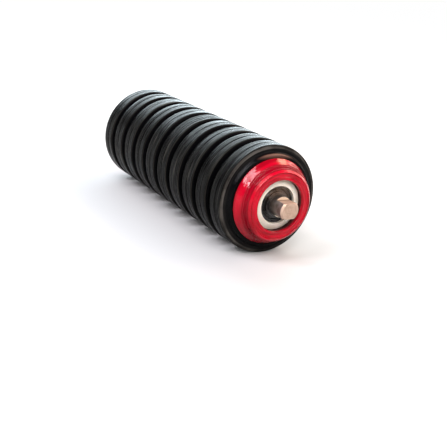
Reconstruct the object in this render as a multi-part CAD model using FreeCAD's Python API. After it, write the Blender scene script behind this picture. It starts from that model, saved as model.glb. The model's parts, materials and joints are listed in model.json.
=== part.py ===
"""Impact conveyor roller: moulded rubber rings on a steel tube that turns on a fixed shaft.

Millimetres. The roller's axis lies along X, Z is up, and the origin is the middle of the roller.
Each end is built at the right, towards +X, and mirrored to the left.
"""
import FreeCAD
import Part
import math
import os
from FreeCAD import Vector

# Rubber rings, whose hubs stand against each other along the tube
RING_COUNT = 10
RING_PITCH = 34.5
RING_OD = 133.0
TREAD_WIDTH = 24.5
TREAD_EDGE_RADIUS = 2.2
SHOULDER_HEIGHT = 4.3
SHOULDER_LEAN = 1.2
PARTING_WIDTH = 2.0
PARTING_DEPTH = 0.7
HUB_OD = 115.0
HUB_DRAFT = 1.5
HUB_EDGE_RADIUS = 1.5
ROOT_RADIUS = 2.5

# Steel tube under the rings
TUBE_OD = 89.0
TUBE_WALL = 4.0
TUBE_STUB = 6.5
TUBE_EDGE = 0.8

# Collars that hold the rings, each with its weld to the tube
COLLAR_HEIGHT = 8.0
COLLAR_WIDTH = 11.0
COLLAR_FACE = 1.0
COLLAR_FRONT_RADIUS = 0.8
COLLAR_BACK_RADIUS = 1.0
WELD_LEG = 1.6

# Pressed bearing housings in the tube's ends
RIM_WIDTH = 3.5
RIM_STEP = 1.0
RIM_RADIUS = 2.5
MOUTH_RADIUS = 1.6
DISH_DEPTH = 1.0
DISH_WIDTH = 6.0
DISH_RADIUS = 0.8
SPIGOT_LENGTH = 4.0
CUP_WALL = 3.5
CUP_CHAMFER = 2.0
FLOOR_WALL = 3.5
FLOOR_LEDGE = 8.0

# Shaft with two flats at each end
SHAFT_D = 25.0
SHAFT_REACH = 6.0
FLATS_LENGTH = 17.0
ACROSS_FLATS = 18.0
SHAFT_CHAMFER = 2.0

# Deep-groove ball bearings
BEARING_OD = 62.0
BEARING_WIDTH = 17.0
RACE_CHAMFER = 0.9
BALL_COUNT = 7
BALL_D = 11.5
SHOULDER_GAP = 3.5
CAGE_WALL = 3.0
CAGE_INSET = 1.0

# Seals outside each bearing
SEAL_RECESS = 9.0
SEAL_LENGTH = 12.5
SEAL_CONE = 3.5
SEAL_WALL = 1.8
SEAL_FACE_WIDTH = 8.3
SEAL_FLANGE = 3.0
SEAL_EDGE = 0.6
FIN_WALL = 1.5
FIN_LENGTH = 4.0
DISC_WALL = 2.0
SLEEVE_WALL = 3.5
SLEEVE_LENGTH = 8.0

# Dust cover on the shaft, seen inside the outer seal
COVER_PROUD = 3.0
COVER_HUB_WALL = 3.5
COVER_DISC_WALL = 2.2
COVER_LIP_WALL = 1.6
COVER_LIP_HEIGHT = 1.6
COVER_RIB_HEIGHT = 0.8
COVER_EDGE = 0.5

# Circlip in its groove
CLIP_WALL = 1.2
CLIP_WIDTH = 3.0
GROOVE_DEPTH = 0.55
CLIP_OPENING = 7.0
LUG_D = 5.0
LUG_HOLE_D = 2.0

# Grease seal behind each bearing
GREASE_SEAL_WALL = 2.5
GREASE_SEAL_LAND = 4.0
GREASE_SEAL_SPIGOT = 2.5
GREASE_SEAL_SPIGOT_WALL = 3.0

# Fits, all as radial or end gaps
SEAT_GAP = 0.03
RUNNING_GAP = 0.7
FIN_GAP = 1.0
BALL_GAP = 0.25
LIP_GAP = 0.4

# Largest share of a wall that the rounding of one corner takes
ROUNDING_SHARE = 0.49

# Radii shared by pieces that meet
tube_r = TUBE_OD / 2
tube_bore_r = tube_r - TUBE_WALL
shaft_r = SHAFT_D / 2
bore_r = BEARING_OD / 2
pitch_r = (shaft_r + bore_r) / 2
race_groove_r = BALL_D / 2 + BALL_GAP
floor_hole_r = bore_r - FLOOR_LEDGE
seal_mouth_r = bore_r - SEAL_FACE_WIDTH
shaft_seat_r = shaft_r + SEAT_GAP
tube_seat_r = tube_r + SEAT_GAP

# Places along the axis at the right end
stack_end = RING_COUNT * RING_PITCH / 2
collar_front = stack_end + COLLAR_WIDTH
tube_end = collar_front + TUBE_STUB
rim_face = tube_end + RIM_WIDTH
flats_shoulder = tube_end + SHAFT_REACH
shaft_end = flats_shoulder + FLATS_LENGTH
seal_front = rim_face - SEAL_RECESS
bearing_out = seal_front - SEAL_LENGTH
bearing_in = bearing_out - BEARING_WIDTH
bearing_mid = (bearing_out + bearing_in) / 2
floor_back = bearing_in - FLOOR_WALL
disc_front = bearing_out + RUNNING_GAP + DISC_WALL
clip_back = bearing_out + SLEEVE_LENGTH
clip_front = clip_back + CLIP_WALL

ORIGIN = Vector(0, 0, 0)
AXIS = Vector(1, 0, 0)


def profile_face(corners):
    """Closed face in the plane of X and radius; a corner is (x, radius) or (x, radius, rounding)."""
    points = [Vector(corner[0], 0, corner[1]) for corner in corners]
    runs = []
    for i, point in enumerate(points):
        rounding = corners[i][2] if len(corners[i]) > 2 else 0.0
        before = points[i - 1] - point
        after = points[(i + 1) % len(points)] - point
        half_angle = before.getAngle(after) / 2
        room = ROUNDING_SHARE * min(before.Length, after.Length)
        reach = min(rounding / math.tan(half_angle), room) if rounding else 0.0
        radius = reach * math.tan(half_angle)
        before.normalize()
        after.normalize()
        depth = radius / math.sin(half_angle) - radius
        inwards = (before + after).normalize() * depth if reach else ORIGIN
        runs.append((point + before * reach, point + inwards, point + after * reach))
    edges = []
    for i, (start, middle, end) in enumerate(runs):
        if start != end:
            edges.append(Part.Arc(start, middle, end).toShape())
        edges.append(Part.LineSegment(end, runs[(i + 1) % len(runs)][0]).toShape())
    return Part.Face(Part.Wire(edges))


def turned(corners):
    """Solid of revolution about the roller's axis."""
    return profile_face(corners).revolve(ORIGIN, AXIS, 360)


def cylinder(radius, start, end):
    """Solid cylinder on the roller's axis."""
    return Part.makeCylinder(radius, end - start, Vector(start, 0, 0), AXIS)


def mirrored(shape):
    """The same piece at the left end."""
    return shape.mirror(ORIGIN, AXIS)


def rubber_ring():
    """One moulded ring about X = 0: hub, hollow root, bevelled shoulders, tread and parting line."""
    hub_half = RING_PITCH / 2
    tread_half = TREAD_WIDTH / 2
    tread_r = RING_OD / 2
    root_r = HUB_OD / 2
    side = [
        (hub_half, tube_seat_r),
        (hub_half, root_r - HUB_DRAFT, HUB_EDGE_RADIUS),
        (tread_half, root_r, ROOT_RADIUS),
        (tread_half, tread_r - SHOULDER_HEIGHT),
        (tread_half - SHOULDER_LEAN, tread_r, TREAD_EDGE_RADIUS),
        (PARTING_WIDTH / 2, tread_r),
    ]
    other_side = [(-corner[0],) + corner[1:] for corner in reversed(side)]
    return turned(side + [(0, tread_r - PARTING_DEPTH)] + other_side)


def shell_tube():
    """Plain tube with eased outer ends."""
    return turned([
        (-tube_end, tube_bore_r),
        (-tube_end, tube_r, TUBE_EDGE),
        (tube_end, tube_r, TUBE_EDGE),
        (tube_end, tube_bore_r),
    ])


def retaining_collar():
    """Coned ring against the last hub, with a weld fillet from its narrow front face down to the tube."""
    weld_top = tube_seat_r + WELD_LEG
    return turned([
        (stack_end, tube_seat_r),
        (stack_end, tube_r + COLLAR_HEIGHT, COLLAR_BACK_RADIUS),
        (collar_front, weld_top + COLLAR_FACE, COLLAR_FRONT_RADIUS),
        (collar_front, weld_top),
        (collar_front + WELD_LEG, tube_seat_r),
    ])


def bearing_housing():
    """Cup for the bearing and seals, with a dished face and a rim on the tube's end."""
    spigot_r = tube_bore_r - SEAT_GAP
    rim_r = tube_r - RIM_STEP
    cup_r = bore_r + CUP_WALL
    dish_middle = (bore_r + rim_r) / 2
    dish_in = dish_middle - DISH_WIDTH / 2
    dish_out = dish_middle + DISH_WIDTH / 2
    dish_x = rim_face - DISH_DEPTH
    spigot_back = tube_end - SPIGOT_LENGTH
    return turned([
        (floor_back, floor_hole_r),
        (floor_back, cup_r - CUP_CHAMFER),
        (floor_back + CUP_CHAMFER, cup_r),
        (spigot_back, cup_r),
        (spigot_back, spigot_r),
        (tube_end, spigot_r),
        (tube_end, rim_r),
        (rim_face, rim_r, RIM_RADIUS),
        (rim_face, dish_out, DISH_RADIUS),
        (dish_x, dish_out - DISH_DEPTH, DISH_RADIUS),
        (dish_x, dish_in + DISH_DEPTH, DISH_RADIUS),
        (rim_face, dish_in, DISH_RADIUS),
        (rim_face, bore_r, MOUTH_RADIUS),
        (bearing_in, bore_r),
        (bearing_in, floor_hole_r),
    ])


def shaft():
    """Round bar with a circlip groove and two flats at each end."""
    bar = turned([
        (-shaft_end, 0),
        (-shaft_end, shaft_r - SHAFT_CHAMFER),
        (-shaft_end + SHAFT_CHAMFER, shaft_r),
        (shaft_end - SHAFT_CHAMFER, shaft_r),
        (shaft_end, shaft_r - SHAFT_CHAMFER),
        (shaft_end, 0),
    ])
    core = cylinder(shaft_r - GROOVE_DEPTH, clip_back, clip_front)
    groove = cylinder(SHAFT_D, clip_back, clip_front).cut(core)
    flat_corner = Vector(flats_shoulder, -shaft_r, ACROSS_FLATS / 2)
    flat = Part.makeBox(FLATS_LENGTH, SHAFT_D, SHAFT_D, flat_corner)
    lower_flat = flat.mirror(ORIGIN, Vector(0, 0, 1))
    for tool in (groove, flat, lower_flat):
        bar = bar.cut(tool).cut(mirrored(tool))
    return bar


def race(inner_r, outer_r):
    """Bearing race with chamfered edges and the groove that the balls run in."""
    ring = turned([
        (bearing_in, inner_r + RACE_CHAMFER),
        (bearing_in, outer_r - RACE_CHAMFER),
        (bearing_in + RACE_CHAMFER, outer_r),
        (bearing_out - RACE_CHAMFER, outer_r),
        (bearing_out, outer_r - RACE_CHAMFER),
        (bearing_out, inner_r + RACE_CHAMFER),
        (bearing_out - RACE_CHAMFER, inner_r),
        (bearing_in + RACE_CHAMFER, inner_r),
    ])
    return ring.cut(Part.makeTorus(pitch_r, race_groove_r, Vector(bearing_mid, 0, 0), AXIS))


def ball_places():
    """Centres of the balls, evenly spaced on the pitch circle from the top."""
    turns = [2 * math.pi * i / BALL_COUNT for i in range(BALL_COUNT)]
    return [Vector(bearing_mid, pitch_r * math.sin(turn), pitch_r * math.cos(turn)) for turn in turns]


def bearing_balls():
    """All the balls of one bearing, as separate solids."""
    return Part.makeCompound([Part.makeSphere(BALL_D / 2, place) for place in ball_places()])


def ball_cage():
    """Ring with one pocket for each ball."""
    start = bearing_in + CAGE_INSET
    end = bearing_out - CAGE_INSET
    cage = cylinder(pitch_r + CAGE_WALL / 2, start, end).cut(cylinder(pitch_r - CAGE_WALL / 2, start, end))
    for place in ball_places():
        cage = cage.cut(Part.makeSphere(race_groove_r, place))
    return cage


def grease_seal():
    """Ring in the hole of the housing's floor, with a lip close to the shaft."""
    back = floor_back - GREASE_SEAL_WALL
    land_r = floor_hole_r + GREASE_SEAL_LAND
    spigot_r = floor_hole_r - SEAT_GAP
    return turned([
        (back, shaft_r + LIP_GAP),
        (back, land_r),
        (floor_back, land_r),
        (floor_back, spigot_r),
        (floor_back + GREASE_SEAL_SPIGOT, spigot_r),
        (floor_back + GREASE_SEAL_SPIGOT, spigot_r - GREASE_SEAL_SPIGOT_WALL),
        (floor_back, spigot_r - GREASE_SEAL_SPIGOT_WALL),
        (floor_back, shaft_r + LIP_GAP),
    ])


def labyrinth_inner():
    """Seal half on the shaft: sleeve, disc and two fins that reach outwards."""
    fin_tip = disc_front + FIN_LENGTH
    low_fin_out = seal_mouth_r - FIN_GAP
    high_fin_in = seal_mouth_r + FIN_WALL + FIN_GAP
    sleeve_r = shaft_r + SLEEVE_WALL
    disc_back = bearing_out + RUNNING_GAP
    return turned([
        (bearing_out, shaft_seat_r),
        (bearing_out, sleeve_r),
        (disc_back, sleeve_r),
        (disc_back, high_fin_in + FIN_WALL),
        (fin_tip, high_fin_in + FIN_WALL),
        (fin_tip, high_fin_in),
        (disc_front, high_fin_in),
        (disc_front, low_fin_out),
        (fin_tip, low_fin_out),
        (fin_tip, low_fin_out - FIN_WALL),
        (disc_front, low_fin_out - FIN_WALL),
        (disc_front, sleeve_r),
        (clip_back, sleeve_r),
        (clip_back, shaft_seat_r),
    ])


def labyrinth_outer():
    """Seal half in the housing: wall, coned front flange and the fin between the other half's fins."""
    seal_r = bore_r - SEAT_GAP
    flange_back = seal_front - SEAL_FLANGE
    fin_tip = disc_front + FIN_GAP
    fin_r = seal_mouth_r + FIN_WALL
    return turned([
        (bearing_out, seal_r - SEAL_WALL),
        (bearing_out, seal_r),
        (seal_front, seal_r, SEAL_EDGE),
        (seal_front + SEAL_CONE, seal_mouth_r, SEAL_EDGE),
        (fin_tip, seal_mouth_r),
        (fin_tip, fin_r),
        (flange_back, fin_r),
        (flange_back, seal_r - SEAL_WALL),
    ])


def dust_cover():
    """Dished cover on the shaft: tall hub, ribbed valley and a lip just inside the outer seal."""
    cover_r = seal_mouth_r - RUNNING_GAP
    hub_r = shaft_r + COVER_HUB_WALL
    front = seal_front + COVER_PROUD
    valley = clip_front + COVER_DISC_WALL
    lip_in = cover_r - COVER_LIP_WALL
    rib = (hub_r + lip_in) / 2
    return turned([
        (clip_front, shaft_seat_r),
        (clip_front, cover_r),
        (valley + COVER_LIP_HEIGHT, cover_r, COVER_EDGE),
        (valley + COVER_LIP_HEIGHT, lip_in, COVER_EDGE),
        (valley, lip_in),
        (valley, rib + COVER_RIB_HEIGHT),
        (valley + COVER_RIB_HEIGHT, rib),
        (valley, rib - COVER_RIB_HEIGHT),
        (valley, hub_r, COVER_EDGE),
        (front, hub_r, COVER_EDGE),
        (front, shaft_seat_r),
    ])


def circlip():
    """Open spring ring in the shaft's groove, with a lug at each side of its opening."""
    ring_in = shaft_r - GROOVE_DEPTH + SEAT_GAP
    ring_out = ring_in + CLIP_WIDTH
    lug_r = LUG_D / 2
    lug_y = CLIP_OPENING / 2 + lug_r
    lug_z = ring_out
    plate = cylinder(ring_out, clip_back, clip_front)
    holes = cylinder(ring_in, clip_back, clip_front)
    for side in (-1, 1):
        foot = Vector(clip_back, side * lug_y, lug_z)
        plate = plate.fuse(Part.makeCylinder(lug_r, CLIP_WALL, foot, AXIS))
        holes = holes.fuse(Part.makeCylinder(LUG_HOLE_D / 2, CLIP_WALL, foot, AXIS))
    opening = Part.makeBox(CLIP_WALL, CLIP_OPENING, SHAFT_D, Vector(clip_back, -CLIP_OPENING / 2, 0))
    return plate.cut(holes).cut(opening).removeSplitter()


def main():
    os.makedirs("parts", exist_ok=True)
    nodes = {"shaft": shaft(), "shell_tube": shell_tube()}
    ring = rubber_ring()
    for i in range(RING_COUNT):
        place = Vector((i + 0.5) * RING_PITCH - stack_end, 0, 0)
        nodes["rubber_ring_%02d" % (i + 1)] = ring.translated(place)
    ends = {
        "retaining_collar": retaining_collar(),
        "bearing_housing": bearing_housing(),
        "bearing_outer_race": race(pitch_r + SHOULDER_GAP, bore_r - SEAT_GAP),
        "bearing_inner_race": race(shaft_seat_r, pitch_r - SHOULDER_GAP),
        "bearing_balls": bearing_balls(),
        "ball_cage": ball_cage(),
        "grease_seal": grease_seal(),
        "labyrinth_inner": labyrinth_inner(),
        "labyrinth_outer": labyrinth_outer(),
        "dust_cover": dust_cover(),
        "circlip": circlip(),
    }
    for name, shape in ends.items():
        nodes[name + "_right"] = shape
        nodes[name + "_left"] = mirrored(shape)
    for name, shape in nodes.items():
        shape.exportStep("parts/%s.step" % name)


main()
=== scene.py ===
import json
import math
import random

import bpy
from mathutils import Matrix, Vector

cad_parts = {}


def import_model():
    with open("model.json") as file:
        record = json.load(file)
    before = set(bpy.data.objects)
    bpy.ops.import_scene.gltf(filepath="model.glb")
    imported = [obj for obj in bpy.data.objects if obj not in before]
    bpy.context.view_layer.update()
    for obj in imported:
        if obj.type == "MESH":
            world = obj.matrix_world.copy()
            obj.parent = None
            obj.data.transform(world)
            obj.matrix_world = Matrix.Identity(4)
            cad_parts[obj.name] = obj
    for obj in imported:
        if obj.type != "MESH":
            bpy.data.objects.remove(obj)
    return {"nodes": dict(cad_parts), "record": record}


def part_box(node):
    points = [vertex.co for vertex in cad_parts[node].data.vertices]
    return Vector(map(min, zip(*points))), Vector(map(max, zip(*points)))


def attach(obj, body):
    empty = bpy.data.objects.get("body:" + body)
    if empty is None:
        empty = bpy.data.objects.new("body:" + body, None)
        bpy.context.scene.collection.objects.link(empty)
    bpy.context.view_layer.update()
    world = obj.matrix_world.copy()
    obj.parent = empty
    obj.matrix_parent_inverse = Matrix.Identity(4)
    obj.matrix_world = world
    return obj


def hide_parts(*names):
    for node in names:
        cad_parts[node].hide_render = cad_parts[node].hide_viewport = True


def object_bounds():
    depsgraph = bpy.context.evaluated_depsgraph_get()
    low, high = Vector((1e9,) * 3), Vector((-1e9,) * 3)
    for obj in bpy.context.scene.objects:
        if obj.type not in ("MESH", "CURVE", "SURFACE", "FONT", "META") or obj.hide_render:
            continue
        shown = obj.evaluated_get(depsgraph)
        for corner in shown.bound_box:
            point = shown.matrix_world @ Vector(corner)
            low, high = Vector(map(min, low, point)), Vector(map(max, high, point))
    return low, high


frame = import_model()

CAD_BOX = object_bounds()
MM = 0.001
ENDS = {"left": -1, "right": 1}
CORNER_STEPS = 7
SHARP_ANGLE = math.radians(35)


def srgb(red, green, blue):
    """Colour of 0 to 255 as a linear colour with alpha."""
    def linear(value):
        value /= 255
        return value / 12.92 if value <= 0.04045 else ((value + 0.055) / 1.055) ** 2.4
    return (linear(red), linear(green), linear(blue), 1.0)


# Places that the frame gives
RING_NODES = sorted(name for name in frame["nodes"] if name.startswith("rubber_ring_"))
TREAD_RADIUS = max(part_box(node)[1].z for node in RING_NODES)
STACK_END = max(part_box(node)[1].x for node in RING_NODES)
TUBE_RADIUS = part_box("shell_tube")[1].z
TUBE_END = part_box("shell_tube")[1].x
HOUSING_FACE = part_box("bearing_housing_right")[1].x
SHAFT_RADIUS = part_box("shaft")[1].z
SHAFT_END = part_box("shaft")[1].x

# Rubber rings
RING_PITCH = 34.5 * MM
TREAD_WIDTH = 24.5 * MM
TREAD_EDGE_RADIUS = 1.2 * MM
SHOULDER_HEIGHT = 4.3 * MM
SHOULDER_LEAN = 1.2 * MM
SHOULDER_CREASE = 0.5 * MM
PARTING_WIDTH = 2.0 * MM
PARTING_DEPTH = 0.7 * MM
HUB_RADIUS = 57.5 * MM
HUB_DRAFT = 2.0 * MM
HUB_EDGE_RADIUS = 1.5 * MM
ROOT_RADIUS = 2.5 * MM
BORE_RADIUS = 44.53 * MM
RING_SEGMENTS = 192
TREAD_STEP = 0.5 * MM

# Wear in the treads: fine streaks all over, and some deeper lines, which grow and fade round the ring
STREAK_DEPTH = 0.05 * MM
LINE_DEPTH = 0.3 * MM
LINE_LEAST = 0.4
LINE_SHARE = 0.14
WEAR_MEAN = 0.6
WEAR_SWING = 0.4

# Pressed housings, with a coned rim and a dished face
RIM_CONE = 2.9 * MM
RIM_EDGE_RADIUS = 0.5 * MM
DISH_DEPTH = 1.0 * MM
DISH_INNER_RADIUS = 34.25 * MM
DISH_OUTER_RADIUS = 40.25 * MM
DISH_EDGE_RADIUS = 0.6 * MM
MOUTH_EDGE_RADIUS = 1.6 * MM
HOUSING_BORE_RADIUS = 31.0 * MM
HOUSING_HOLE_RADIUS = 23.0 * MM
CUP_RADIUS = 34.5 * MM
CUP_CHAMFER = 2.0 * MM
SPIGOT_LENGTH = 4.0 * MM
SPIGOT_RADIUS = 40.47 * MM
HOUSING_SEGMENTS = 360

# Brush ridges in the painted face, each a pitch and a depth
RIDGE_STEP = 0.25 * MM
RIDGES = [(2.9 * MM, 0.14 * MM), (1.9 * MM, 0.08 * MM)]

# Shaft
FLATS_LENGTH = 17.0 * MM
FLATS_SHOULDER = SHAFT_END - FLATS_LENGTH

# Weld beads between the collars and the tube
WELD_RADIUS = 1.3 * MM
WELD_INSET = 1.3 * MM
WELD_LIFT = 0.5 * MM
WELD_CORNERS = 12
WELD_SEGMENTS = 720
WELD_RIPPLES = 110
WELD_RIPPLE_DEPTH = 0.18 * MM

# All finishes: the range that noise mostly lies in. A pair of places is where a change starts and ends.
NOISE_RANGE = (0.3, 0.7)

# Rubber's finish, with a tread's edge measured from the middle of the gap
SHOULDER_RADIUS = TREAD_RADIUS - SHOULDER_HEIGHT
TREAD_EDGE = (RING_PITCH - TREAD_WIDTH) / 2 + SHOULDER_LEAN
TREAD_FINISH_RADIUS = (TREAD_RADIUS - 1.6 * MM, TREAD_RADIUS - 0.7 * MM)
WORN_EDGE_PLACE = (TREAD_EDGE + 0.7 * MM, TREAD_EDGE - 0.4 * MM)
SIDE_DUST_REACH = (STACK_END - TREAD_EDGE - 0.5 * MM, STACK_END - TREAD_EDGE)
SIDE_DUST_RADIUS = (HUB_RADIUS + 0.3 * MM, HUB_RADIUS + 2.0 * MM)
SHOULDER_DUST_RADIUS = (SHOULDER_RADIUS - 0.8 * MM, SHOULDER_RADIUS + 0.8 * MM)
# Where warm reflected light is painted on top of the outermost hubs
HUB_LIGHT_REACH = (STACK_END - 3.9 * MM, STACK_END - 1.7 * MM)
HUB_LIGHT_RISE = (HUB_RADIUS - 8.5 * MM, HUB_RADIUS - 0.5 * MM)
CLEAN_TREAD = (srgb(2, 2, 2), srgb(7, 7, 7))
DUSTY_TREAD = (srgb(3, 3, 2), srgb(10, 9, 7))
WORN_EDGE = srgb(44, 42, 38)
SCRATCH = srgb(54, 53, 49)
GAP_BLACK = srgb(5, 5, 6)
SIDE_DUST = (srgb(20, 19, 18), srgb(76, 73, 69))
# Painted warm reflected light on top of the outermost hubs
HUB_PAINTED_LIGHT = srgb(100, 72, 62)
RUBBER_SPECULAR = 0.05
TREAD_ROUGHNESS = (0.2, 0.52)
DUST_ROUGHNESS = 0.08
GAP_ROUGHNESS = 0.15
TREAD_RELIEF = 0.5 * MM

# Paint's finish, with painted shade: a deeper red from the collars to the housings, and near-black in the
# housings' mouths
COLLAR_SHADE_REACH = (TUBE_END - 9.5 * MM, TUBE_END - 6.0 * MM)
COLLAR_SHADE_END = (TUBE_END + 0.5 * MM, TUBE_END + 1.5 * MM)
COLLAR_SHADE_SHARE = (0.35, 0.65)
MOUTH_SHADE_RADIUS = (HOUSING_BORE_RADIUS + 0.3 * MM, HOUSING_BORE_RADIUS + 1.4 * MM)
MOUTH_SHADE_REACH = (HOUSING_FACE - 1.2 * MM, HOUSING_FACE - 6.0 * MM)
RED_PAINT = (srgb(147, 1, 21), srgb(190, 3, 34))
COLLAR_PAINTED_SHADE = srgb(92, 0, 13)
# Painted shade deep in the housings' mouths
MOUTH_PAINTED_SHADE = srgb(44, 4, 6)
PAINT_SPECULAR = 0.18
PAINT_ROUGHNESS = (0.05, 0.24)
MOUTH_ROUGHNESS = 0.35
PAINT_RELIEF = 1.15 * MM

# Steel finishes
SKIN_RADIUS = (SHAFT_RADIUS - 0.2 * MM, SHAFT_RADIUS - 0.03 * MM)
# Painted shade on the flats next to their shoulders, and a painted highlight on the shoulders
SHADE_REACH = (FLATS_SHOULDER + 0.3 * MM, FLATS_SHOULDER + 6.0 * MM)
HIGHLIGHT_REACH = (FLATS_SHOULDER + 0.1 * MM, FLATS_SHOULDER + 0.2 * MM)
BARE_STEEL = (srgb(166, 139, 121), srgb(198, 170, 151))
SHADED_STEEL = srgb(118, 96, 78)
SHOULDER_PAINTED_HIGHLIGHT = srgb(244, 222, 200)
OILED_STEEL = (srgb(112, 106, 102), srgb(168, 161, 156))
BARE_ROUGHNESS = (0.42, 0.55)
OILED_ROUGHNESS = 0.38
BARE_METALLIC = 0.7
GROUND_STEEL = (srgb(196, 196, 198), srgb(226, 226, 228))
PRESSED_STEEL = (srgb(170, 170, 170), srgb(200, 200, 200))
BLUED_STEEL = (srgb(60, 60, 64), srgb(84, 84, 88))
TURNING_RELIEF = 0.03 * MM
TURNING_STRENGTH = 0.5

# Plastic finishes
# Upper side of the seals, dusty and with warm light painted on it
UPPER_SIDE_RISE = (3.0 * MM, 17.0 * MM)
CREAM_NYLON = (srgb(228, 218, 203), srgb(242, 233, 219))
BLACK_NYLON = (srgb(24, 24, 25), srgb(40, 39, 39))
SEAL_RUBBER = (srgb(8, 7, 7), srgb(24, 20, 18))
# Dust with painted warm light, on the upper side of the seals
SEAL_DUST_AND_TOP_LIGHT = srgb(92, 72, 57)
NYLON_SUBSURFACE = 0.15
SUBSURFACE_DEPTH = (2.0 * MM, 1.5 * MM, 1.0 * MM)
PLASTIC_RELIEF = 0.05 * MM
PLASTIC_STRENGTH = 0.4

# Floor and surroundings
WHITE = (1.0, 1.0, 1.0, 1.0)
FLOOR_HALF = 40.0
FLOOR_GREY = (0.4, 0.4, 0.4, 1.0)
GLOW_REACH = (0.3, 1.7)
GLOW_STRENGTH = (0.05, 0.95)
SKY_COLOUR = (0.95, 0.97, 1.0, 1.0)
SKY_STRENGTH = 0.12
HORIZON_RISE = (0.12, 0.21)
HORIZON_STRENGTH = 1.0

# Softboxes: name, azimuth and height in degrees, distance, width, tallness, radiance and colour
SOFTBOXES = [
    ("back_window", 156, 28, 2.06, 2.15, 1.8, 9.1, (0.81, 0.94, 1.0)),
    ("left_low", 278, 37, 1.6, 0.22, 0.38, 47.0, (1.0, 0.94, 1.0)),
    ("left_edge", 265, 52, 1.6, 0.11, 0.6, 34.0, (0.84, 0.94, 1.0)),
    ("left_high", 276, 60, 1.6, 0.22, 0.75, 30.0, (1.0, 0.92, 1.0)),
    ("front_strip", 326, 33, 1.6, 0.32, 0.42, 24.0, (1.0, 0.98, 0.96)),
    ("warm_side", 108, 45, 1.5, 0.48, 0.48, 12.0, (1.0, 0.72, 0.48)),
    ("warm_low", 100, 20, 1.5, 1.2, 0.66, 5.0, (1.0, 0.78, 0.66)),
    ("warm_high", 69, 41, 1.57, 0.7, 0.5, 9.0, (1.0, 0.8, 0.7)),
    ("front_high", 342, 49, 1.64, 0.3, 0.4, 22.0, (1.0, 0.96, 0.96)),
    ("front_fill", 18, 32, 1.7, 1.6, 1.2, 1.7, (1.0, 0.98, 0.95)),
]

# Camera, fitted to the photograph's 447 pixel square frame
CAMERA_PLACE = Vector((0.9281, -0.5491, 0.2643))
CAMERA_RIGHT = Vector((0.50564, 0.85435, 0.12007))
CAMERA_UP = Vector((-0.32291, 0.05835, 0.94462))
CAMERA_LENS = 66.44
CAMERA_SENSOR = 36.0
CAMERA_NEAR = 0.01
CAMERA_FAR = 200.0


class Nodes:
    """Adds nodes to a material or world; each input is a value or the socket that feeds it."""

    def __init__(self, tree):
        self.tree = tree

    def put(self, socket, value):
        """Links a socket to what feeds it, or sets its value."""
        if isinstance(value, bpy.types.NodeSocket):
            self.tree.links.new(value, socket)
        else:
            socket.default_value = value

    def add(self, kind, inputs=None, **settings):
        """New node of a kind."""
        node = self.tree.nodes.new(kind)
        for name, value in settings.items():
            setattr(node, name, value)
        for key, value in (inputs or {}).items():
            self.put(node.inputs[key], value)
        return node

    def calc(self, operation, first, second=0.0):
        """One sum on numbers."""
        return self.add("ShaderNodeMath", {0: first, 1: second}, operation=operation).outputs[0]

    def times(self, first, *others):
        """Product of numbers."""
        for other in others:
            first = self.calc("MULTIPLY", first, other)
        return first

    def weighted(self, *pairs):
        """Sum of numbers, each given with its weight."""
        terms = [self.times(value, weight) for value, weight in pairs]
        total = terms[0]
        for term in terms[1:]:
            total = self.calc("ADD", total, term)
        return total

    def between(self, factor, first, second):
        """Blend of two numbers."""
        return self.weighted((first, self.calc("SUBTRACT", 1.0, factor)), (second, factor))

    def mix(self, factor, first, second):
        """Blend of two colours, by the sockets that a mix node keeps for colours."""
        return self.add("ShaderNodeMix", {0: factor, 6: first, 7: second}, data_type="RGBA").outputs[2]

    def ramp(self, value, start, end, low=0.0, high=1.0):
        """Low up to where the value is start, high past where it is end, and eased between."""
        return self.add("ShaderNodeMapRange", {"Value": value, "From Min": start, "From Max": end,
                                               "To Min": low, "To Max": high},
                        interpolation_type="SMOOTHSTEP").outputs["Result"]

    def noise(self, vector, scale, detail):
        """Noise of 0 to 1."""
        return self.add("ShaderNodeTexNoise",
                        {"Vector": vector, "Scale": scale, "Detail": detail}).outputs["Fac"]

    def seen_rays(self):
        """1 for rays from the camera, from a mirror or through glass, and 0 for those that light things."""
        path = self.add("ShaderNodeLightPath").outputs
        mirrored = self.calc("MAXIMUM", path["Is Camera Ray"], path["Is Glossy Ray"])
        return self.calc("MAXIMUM", mirrored, path["Is Transmission Ray"])


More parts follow.
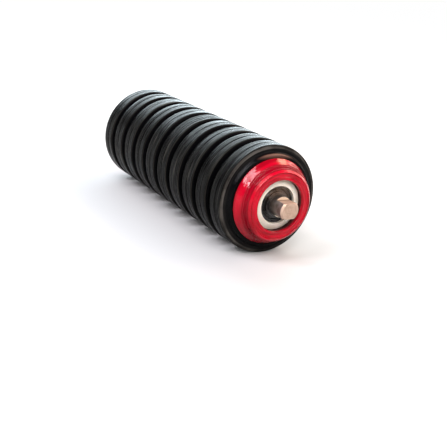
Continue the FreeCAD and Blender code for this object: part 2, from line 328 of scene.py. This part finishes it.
class Finish(Nodes):
    """Principled material of the roller's pieces, whose looks go by their place about the axis."""

    def __init__(self, name, **constants):
        self.material = bpy.data.materials.new(name)
        self.material.use_nodes = True
        super().__init__(self.material.node_tree)
        self.surface = self.tree.nodes["Principled BSDF"]
        self.feed(**constants)
        self.place = self.add("ShaderNodeTexCoord").outputs["Object"]
        parts = self.add("ShaderNodeSeparateXYZ", {"Vector": self.place}).outputs
        across = self.add("ShaderNodeCombineXYZ", {"Y": parts["Y"], "Z": parts["Z"]}).outputs[0]
        self.radius = self.add("ShaderNodeVectorMath", {0: across}, operation="LENGTH").outputs["Value"]
        self.around = self.add("ShaderNodeVectorMath", {0: across}, operation="NORMALIZE").outputs["Vector"]
        self.rise = parts["Z"]
        self.reach = self.calc("ABSOLUTE", parts["X"])
        self.along = self.calc("ADD", parts["X"], self.radius)

    def feed(self, **inputs):
        """Sets or links inputs of the shader, by their names in small letters."""
        for key, value in inputs.items():
            name = key.replace("_", " ").title().replace("Ior", "IOR")
            self.put(self.surface.inputs[name], value)

    def grain(self, scale, detail=3.0):
        """Even noise of that scale to the metre."""
        return self.noise(self.place, scale, detail)

    def streaks(self, lines, waves, detail=2.0):
        """Noise drawn out round the axis, with so many lines to the metre and waves to the turn."""
        offset = self.add("ShaderNodeCombineXYZ", {"X": self.times(self.along, lines)}).outputs[0]
        vector = self.add("ShaderNodeVectorMath", {0: self.around, 1: (waves, waves, waves), 2: offset},
                          operation="MULTIPLY_ADD").outputs["Vector"]
        return self.noise(vector, scale=1.0, detail=detail)

    def bump(self, height, depth, strength=1.0):
        """Raises the surface by a height map of 0 to 1 of that depth."""
        node = self.add("ShaderNodeBump", {"Height": height, "Distance": depth, "Strength": strength})
        self.feed(normal=node.outputs["Normal"])


def rubber_finish():
    """Moulded black rubber: treads scuffed in lines round the axis, black gaps, dusty outermost shoulders,
    and warm light painted on top of the outermost hubs.
    """
    rubber = Finish("moulded_rubber", specular_ior_level=RUBBER_SPECULAR)
    fine = rubber.streaks(lines=1500, waves=2.0)
    lines = rubber.streaks(lines=560, waves=1.2)
    broad = rubber.streaks(lines=160, waves=2.5)
    specks = rubber.grain(scale=1800)
    scuffs = rubber.grain(scale=55)
    tone = rubber.ramp(rubber.weighted((fine, 0.35), (lines, 0.65)), start=0.4, end=0.62)
    dust = rubber.ramp(rubber.weighted((broad, 0.6), (scuffs, 0.4)), start=0.42, end=0.66)
    soil = rubber.ramp(rubber.weighted((scuffs, 0.4), (lines, 0.6)), start=0.38, end=0.64)

    # Tread tops, paler at their edges and along scratches
    across = rubber.calc("PINGPONG", rubber.reach, RING_PITCH / 2)
    edge = rubber.times(rubber.ramp(across, *WORN_EDGE_PLACE, high=0.8),
                        rubber.ramp(tone, start=0.0, end=1.0, low=0.4))
    scratch = rubber.times(rubber.ramp(lines, start=0.58, end=0.68, high=0.9),
                           rubber.ramp(fine, start=0.35, end=0.6, low=0.3))
    top = rubber.mix(dust, rubber.mix(tone, *CLEAN_TREAD), rubber.mix(tone, *DUSTY_TREAD))
    top = rubber.mix(edge, top, WORN_EDGE)
    top = rubber.mix(scratch, top, SCRATCH)

    # Gaps and sides, dusty on the outermost shoulders, with warm reflected light painted on top of the
    # outermost hubs
    outermost = rubber.times(rubber.ramp(rubber.reach, *SIDE_DUST_REACH),
                             rubber.ramp(rubber.radius, *SIDE_DUST_RADIUS),
                             rubber.ramp(rubber.radius, *SHOULDER_DUST_RADIUS, low=0.1))
    hub_light = rubber.times(rubber.ramp(rubber.reach, *HUB_LIGHT_REACH),
                           rubber.ramp(rubber.rise, *HUB_LIGHT_RISE))
    side = rubber.mix(outermost, GAP_BLACK, rubber.mix(soil, *SIDE_DUST))
    side = rubber.mix(hub_light, side, HUB_PAINTED_LIGHT)

    tread = rubber.ramp(rubber.radius, *TREAD_FINISH_RADIUS)
    worn = rubber.calc("ADD", rubber.ramp(tone, 0.0, 1.0, *TREAD_ROUGHNESS),
                       rubber.times(dust, DUST_ROUGHNESS))
    rubber.feed(base_color=rubber.mix(tread, side, top),
                roughness=rubber.between(tread, GAP_ROUGHNESS, worn))
    rubber.bump(rubber.weighted((lines, 0.75), (specks, 0.25)), TREAD_RELIEF)
    return rubber.material


def paint_finish():
    """Glossy crimson enamel, brushed on thickly."""
    paint = Finish("red_enamel", specular_ior_level=PAINT_SPECULAR)
    waves = paint.grain(scale=130, detail=1.0)
    clouds = paint.grain(scale=45)
    lines = paint.streaks(lines=380, waves=1.2, detail=1.0)
    strokes = paint.streaks(lines=900, waves=5.0)
    tone = paint.ramp(paint.weighted((clouds, 0.3), (lines, 0.7)), start=0.36, end=0.64)
    # Painted shade: a deeper red over the collar cones and tube ends
    collar_shade = paint.times(paint.ramp(paint.reach, *COLLAR_SHADE_REACH, *COLLAR_SHADE_SHARE),
                       paint.ramp(paint.reach, *COLLAR_SHADE_END, low=1.0, high=0.0))
    # Painted shade: near-black deep in the housings' mouths
    mouth_shade = paint.times(paint.ramp(paint.radius, *MOUTH_SHADE_RADIUS, low=1.0, high=0.0),
                        paint.ramp(paint.reach, *MOUTH_SHADE_REACH))
    colour = paint.mix(collar_shade, paint.mix(tone, *RED_PAINT), COLLAR_PAINTED_SHADE)
    paint.feed(base_color=paint.mix(mouth_shade, colour, MOUTH_PAINTED_SHADE),
               roughness=paint.calc("ADD", paint.ramp(strokes, 0.4, 0.62, *PAINT_ROUGHNESS),
                                    paint.times(mouth_shade, MOUTH_ROUGHNESS)))
    paint.bump(paint.weighted((waves, 0.42), (strokes, 0.1), (lines, 0.42)), PAINT_RELIEF)
    return paint.material


def steel_finish(name, colours, roughness, lines):
    """Machined steel with turning marks round the axis."""
    steel = Finish(name, metallic=1.0)
    marks = steel.streaks(lines, waves=1.5, detail=3.0)
    clouds = steel.grain(scale=120)
    tone = steel.ramp(steel.weighted((marks, 0.6), (clouds, 0.4)), *NOISE_RANGE)
    steel.feed(base_color=steel.mix(tone, *colours), roughness=steel.ramp(clouds, *NOISE_RANGE, *roughness))
    steel.bump(marks, TURNING_RELIEF, TURNING_STRENGTH)
    return steel.material


def shaft_finish():
    """Drawn bar with an oiled skin, tan where its ends and flats are cut, with painted shade on the flats
    next to their shoulders and a painted highlight on the shoulders.
    """
    bar = Finish("drawn_steel")
    marks = bar.streaks(lines=1500, waves=1.5, detail=3.0)
    clouds = bar.grain(scale=120)
    cuts = bar.grain(scale=900)
    tone = bar.ramp(bar.weighted((marks, 0.5), (clouds, 0.5)), *NOISE_RANGE)
    bare = bar.mix(tone, *BARE_STEEL)
    bare = bar.mix(bar.ramp(bar.reach, *SHADE_REACH, low=1.0, high=0.0), bare, SHADED_STEEL)
    # Painted highlight on the flats' shoulders
    bare = bar.mix(bar.ramp(bar.reach, *HIGHLIGHT_REACH, low=1.0, high=0.0), bare, SHOULDER_PAINTED_HIGHLIGHT)
    skin = bar.ramp(bar.radius, *SKIN_RADIUS)
    bar.feed(base_color=bar.mix(skin, bare, bar.mix(tone, *OILED_STEEL)),
             roughness=bar.between(skin, bar.ramp(cuts, *NOISE_RANGE, *BARE_ROUGHNESS), OILED_ROUGHNESS),
             metallic=bar.ramp(skin, start=0.0, end=1.0, low=BARE_METALLIC))
    bar.bump(marks, TURNING_RELIEF, TURNING_STRENGTH)
    return bar.material


def plastic_finish(name, colours, roughness, subsurface=0.0, dust=None):
    """Moulded plastic or rubber with a fine grain and faint flow lines; if dust has a colour, its upper side
    takes that colour, as dust with painted warm light.
    """
    plastic = Finish(name, subsurface_weight=subsurface, subsurface_radius=SUBSURFACE_DEPTH)
    lines = plastic.streaks(lines=700, waves=2.0)
    clouds = plastic.grain(scale=160)
    tone = plastic.ramp(plastic.weighted((lines, 0.5), (clouds, 0.5)), *NOISE_RANGE)
    colour = plastic.mix(tone, *colours)
    if dust:
        # Dust, with painted warm light, on the upper side
        upper_side = plastic.times(plastic.ramp(plastic.rise, *UPPER_SIDE_RISE),
                                plastic.ramp(lines, start=0.3, end=0.6, low=0.4))
        colour = plastic.mix(upper_side, colour, dust)
    plastic.feed(base_color=colour, roughness=plastic.ramp(lines, *NOISE_RANGE, *roughness))
    plastic.bump(plastic.grain(scale=1500), PLASTIC_RELIEF, PLASTIC_STRENGTH)
    return plastic.material


MATERIALS = {
    "rubber": rubber_finish(),
    "red_paint": paint_finish(),
    "shaft_steel": shaft_finish(),
    "race_steel": steel_finish("ground_steel", GROUND_STEEL, roughness=(0.12, 0.2), lines=2500),
    "cage_steel": steel_finish("pressed_steel", PRESSED_STEEL, roughness=(0.3, 0.4), lines=600),
    "white_nylon": plastic_finish("cream_nylon", CREAM_NYLON, roughness=(0.35, 0.5),
                                  subsurface=NYLON_SUBSURFACE),
    "black_nylon": plastic_finish("black_nylon", BLACK_NYLON, roughness=(0.35, 0.5)),
    "seal_rubber": plastic_finish("seal_rubber", SEAL_RUBBER, roughness=(0.2, 0.34), dust=SEAL_DUST_AND_TOP_LIGHT),
    "spring_steel": steel_finish("blued_steel", BLUED_STEEL, roughness=(0.3, 0.4), lines=900),
}


def dress_nodes():
    """Gives every solid of the frame its finish."""
    for row in frame["record"]["subparts"]:
        node = frame["nodes"][row["node"]]
        node.data.materials.clear()
        node.data.materials.append(MATERIALS[row["material_slot"]])


def rounded(corners):
    """Points of an open section with its corners rounded; a corner is (x, radius, rounding)."""
    points = [Vector((x, r)) for x, r, _ in corners]
    out = []
    for i, point in enumerate(points):
        rounding = corners[i][2]
        if not rounding:
            out.append(tuple(point))
            continue
        before = (points[i - 1] - point).normalized()
        after = (points[i + 1] - point).normalized()
        half = before.angle(after) / 2
        centre = point + (before + after).normalized() * (rounding / math.sin(half))
        start = point + before * (rounding / math.tan(half)) - centre
        end = point + after * (rounding / math.tan(half)) - centre
        turn = start.angle_signed(end)
        for step in range(CORNER_STEPS + 1):
            out.append(tuple(centre + Matrix.Rotation(-turn * step / CORNER_STEPS, 2) @ start))
    return out


def spaced(start, end, r, step):
    """Points on a straight run along the axis, end points left out."""
    count = max(1, round(abs(end - start) / step))
    return [(start + (end - start) * i / count, r) for i in range(1, count)]


def lathe(name, section, segments, shift=lambda i, turn: 0.0):
    """Closed mesh turned from a closed section of (x, radius); shift moves a point outwards."""
    verts = []
    for i, (x, r) in enumerate(section):
        for k in range(segments):
            turn = 2 * math.pi * k / segments
            reach = r + shift(i, turn)
            verts.append((x, -reach * math.sin(turn), reach * math.cos(turn)))
    faces = []
    rows = len(section)
    for i in range(rows):
        for k in range(segments):
            a = i * segments + k
            b = i * segments + (k + 1) % segments
            c = ((i + 1) % rows) * segments + (k + 1) % segments
            d = ((i + 1) % rows) * segments + k
            faces.append((a, b, c, d))
    mesh = bpy.data.meshes.new(name)
    mesh.from_pydata(verts, [], faces)
    mesh.validate()
    mesh.shade_smooth()
    mesh.set_sharp_from_angle(angle=SHARP_ANGLE)
    piece = bpy.data.objects.new(name, mesh)
    bpy.context.scene.collection.objects.link(piece)
    return piece


def place_piece(piece, body, slot, *nodes):
    """Gives a new piece its finish and its body, and hides the solids that it stands for."""
    piece.data.materials.append(MATERIALS[slot])
    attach(piece, body)
    if nodes:
        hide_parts(*nodes)


def ring_section(middle, half_pitch, tread_r):
    """Section of one ring, from the bore over the hub and tread to the bore on its other side."""
    tread_half = TREAD_WIDTH / 2
    side = rounded([
        (half_pitch, BORE_RADIUS, 0),
        (half_pitch, HUB_RADIUS - HUB_DRAFT, HUB_EDGE_RADIUS),
        (tread_half, HUB_RADIUS, ROOT_RADIUS),
        (tread_half, tread_r - SHOULDER_HEIGHT, SHOULDER_CREASE),
        (tread_half - SHOULDER_LEAN, tread_r, TREAD_EDGE_RADIUS),
        (PARTING_WIDTH / 2, tread_r, 0),
    ])
    run = spaced(side[-2][0], side[-1][0], tread_r, TREAD_STEP)
    half = side[:-1] + run + side[-1:]
    section = half + [(0.0, tread_r - PARTING_DEPTH)] + [(-x, r) for x, r in reversed(half)]
    return [(middle + x, r) for x, r in section]


def rubber_rings():
    """Moulded rings with fine turning grooves in their treads, no two alike."""
    for index, node in enumerate(RING_NODES):
        low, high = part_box(node)
        dice = random.Random(index)
        section = ring_section((low.x + high.x) / 2, (high.x - low.x) / 2, high.z)
        depth = []
        for _, r in section:
            line = LINE_DEPTH * dice.uniform(LINE_LEAST, 1.0) if dice.random() < LINE_SHARE else 0.0
            on_tread = r > high.z - PARTING_DEPTH / 2
            depth.append(STREAK_DEPTH * dice.random() + line if on_tread else 0.0)
        phase = [dice.uniform(0, 2 * math.pi) for _ in section]

        def groove(i, turn):
            return -depth[i] * (WEAR_MEAN + WEAR_SWING * math.sin(turn + phase[i]))

        piece = lathe("moulded_ring_%02d" % (index + 1), section, RING_SEGMENTS, groove)
        place_piece(piece, "roller", "rubber", node)


def ridge(r):
    """Height that the brush leaves at a radius of a painted face."""
    return sum(depth * math.sin(2 * math.pi * r / pitch) for pitch, depth in RIDGES)


def brushed(section, start):
    """Section with the fine ridges of a brush held to the turning face, past start along the axis."""
    out = []
    for (x, r), (next_x, next_r) in zip(section, section[1:] + section[:1]):
        painted = min(x, next_x) >= start
        steps = max(1, round(math.dist((x, r), (next_x, next_r)) / RIDGE_STEP)) if painted else 1
        for i in range(steps):
            reach = x + (next_x - x) * i / steps
            radius = r + (next_r - r) * i / steps
            out.append((reach + (ridge(radius) if reach >= start else 0.0), radius))
    return out


def housings():
    """Pressed housings whose rims fall away in a cone, as thick paint leaves them."""
    for end, side in ENDS.items():
        low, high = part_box("bearing_housing_" + end)
        face = max(abs(low.x), abs(high.x))
        back = min(abs(low.x), abs(high.x))
        rim_r = high.z
        seat = min(abs(corner.x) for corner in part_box("bearing_outer_race_" + end))
        section = rounded([
            (seat, HOUSING_HOLE_RADIUS, 0),
            (seat, HOUSING_BORE_RADIUS, 0),
            (face, HOUSING_BORE_RADIUS, MOUTH_EDGE_RADIUS),
            (face, DISH_INNER_RADIUS, DISH_EDGE_RADIUS),
            (face - DISH_DEPTH, DISH_INNER_RADIUS + DISH_DEPTH, DISH_EDGE_RADIUS),
            (face - DISH_DEPTH, DISH_OUTER_RADIUS - DISH_DEPTH, DISH_EDGE_RADIUS),
            (face, rim_r - RIM_CONE, RIM_EDGE_RADIUS),
            (face - RIM_CONE, rim_r, RIM_EDGE_RADIUS),
            (TUBE_END, rim_r, 0),
            (TUBE_END, SPIGOT_RADIUS, 0),
            (TUBE_END - SPIGOT_LENGTH, SPIGOT_RADIUS, 0),
            (TUBE_END - SPIGOT_LENGTH, CUP_RADIUS, 0),
            (back + CUP_CHAMFER, CUP_RADIUS, 0),
            (back, CUP_RADIUS - CUP_CHAMFER, 0),
            (back, HOUSING_HOLE_RADIUS, 0),
        ])
        section = [(side * x, r) for x, r in brushed(section, face - RIM_CONE)][::side]
        piece = lathe("painted_housing_" + end, section, HOUSING_SEGMENTS)
        place_piece(piece, "roller", "red_paint", "bearing_housing_" + end)


def weld_beads():
    """Rippled weld between each collar and the tube."""
    for end, side in ENDS.items():
        outer_x = max(abs(corner.x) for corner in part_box("retaining_collar_" + end))
        middle = Vector((side * (outer_x - WELD_INSET), TUBE_RADIUS + WELD_LIFT))
        section = []
        for i in range(WELD_CORNERS):
            turn = side * 2 * math.pi * i / WELD_CORNERS
            section.append((middle.x + WELD_RADIUS * math.cos(turn), middle.y + WELD_RADIUS * math.sin(turn)))

        def ripple(i, turn):
            crest = math.sin(2 * math.pi * i / WELD_CORNERS)
            return WELD_RIPPLE_DEPTH * math.sin(WELD_RIPPLES * turn) * crest

        piece = lathe("weld_bead_" + end, section, WELD_SEGMENTS, ripple)
        place_piece(piece, "roller", "red_paint")


def floor():
    """Pale floor under the roller, white to the camera away from it, with the roller's shadow."""
    level = CAD_BOX[0].z
    corners = [(-1, -1), (1, -1), (1, 1), (-1, 1)]
    mesh = bpy.data.meshes.new("floor")
    mesh.from_pydata([(x * FLOOR_HALF, y * FLOOR_HALF, level) for x, y in corners], [], [(0, 1, 2, 3)])
    piece = bpy.data.objects.new("floor", mesh)
    bpy.context.scene.collection.objects.link(piece)
    material = bpy.data.materials.new("pale_floor")
    material.use_nodes = True
    material.node_tree.nodes.clear()
    pale = Nodes(material.node_tree)
    place = pale.add("ShaderNodeTexCoord").outputs["Object"]
    reach = pale.add("ShaderNodeVectorMath", {0: place}, operation="LENGTH").outputs["Value"]
    glow = pale.ramp(reach, *GLOW_REACH, *GLOW_STRENGTH)
    plain = pale.add("ShaderNodeBsdfDiffuse", {"Color": FLOOR_GREY}).outputs[0]
    light = pale.add("ShaderNodeEmission", {"Color": WHITE, "Strength": glow}).outputs[0]
    seen = pale.add("ShaderNodeAddShader", {0: plain, 1: light}).outputs[0]
    both = pale.add("ShaderNodeMixShader", {0: pale.seen_rays(), 1: plain, 2: seen}).outputs[0]
    pale.add("ShaderNodeOutputMaterial", {"Surface": both})
    mesh.materials.append(material)


def world():
    """Even, slightly cool light from all round, and a white horizon that carries the floor on."""
    studio = bpy.data.worlds.new("studio")
    studio.use_nodes = True
    sky = Nodes(studio.node_tree)
    background = studio.node_tree.nodes["Background"]
    direction = sky.add("ShaderNodeTexCoord").outputs["Generated"]
    rise = sky.add("ShaderNodeSeparateXYZ", {"Vector": direction}).outputs["Z"]
    horizon = sky.times(sky.seen_rays(), sky.ramp(rise, *HORIZON_RISE, low=1.0, high=0.0))
    sky.put(background.inputs["Color"], sky.mix(horizon, SKY_COLOUR, WHITE))
    sky.put(background.inputs["Strength"], sky.ramp(horizon, 0.0, 1.0, SKY_STRENGTH, HORIZON_STRENGTH))
    bpy.context.scene.world = studio


def softbox(name, azimuth, height, distance, width, tall, radiance, colour):
    """Area light that faces the roller from a direction, which is given in degrees."""
    data = bpy.data.lights.new(name, "AREA")
    data.shape = "RECTANGLE"
    data.size = width
    data.size_y = tall
    data.color = colour
    data.energy = radiance * math.pi * width * tall
    lamp = bpy.data.objects.new(name, data)
    turn, rise = math.radians(azimuth), math.radians(height)
    aim = Vector((math.cos(rise) * math.cos(turn), math.cos(rise) * math.sin(turn), math.sin(rise)))
    lamp.location = aim * distance
    lamp.rotation_mode = "QUATERNION"
    lamp.rotation_quaternion = aim.to_track_quat("Z", "Y")
    lamp.visible_camera = False
    bpy.context.scene.collection.objects.link(lamp)


def camera():
    """Camera at the photograph's viewing angle."""
    data = bpy.data.cameras.new("camera")
    data.lens = CAMERA_LENS
    data.sensor_width = CAMERA_SENSOR
    data.sensor_fit = "HORIZONTAL"
    data.clip_start = CAMERA_NEAR
    data.clip_end = CAMERA_FAR
    eye = bpy.data.objects.new("camera", data)
    back = CAMERA_RIGHT.cross(CAMERA_UP)
    eye.matrix_world = Matrix((CAMERA_RIGHT, CAMERA_UP, back)).transposed().to_4x4()
    eye.location = CAMERA_PLACE
    bpy.context.scene.collection.objects.link(eye)
    bpy.context.scene.camera = eye


dress_nodes()
rubber_rings()
housings()
weld_beads()
floor()
world()
for row in SOFTBOXES:
    softbox(*row)
camera()
bpy.context.scene.view_settings.view_transform = "Standard"
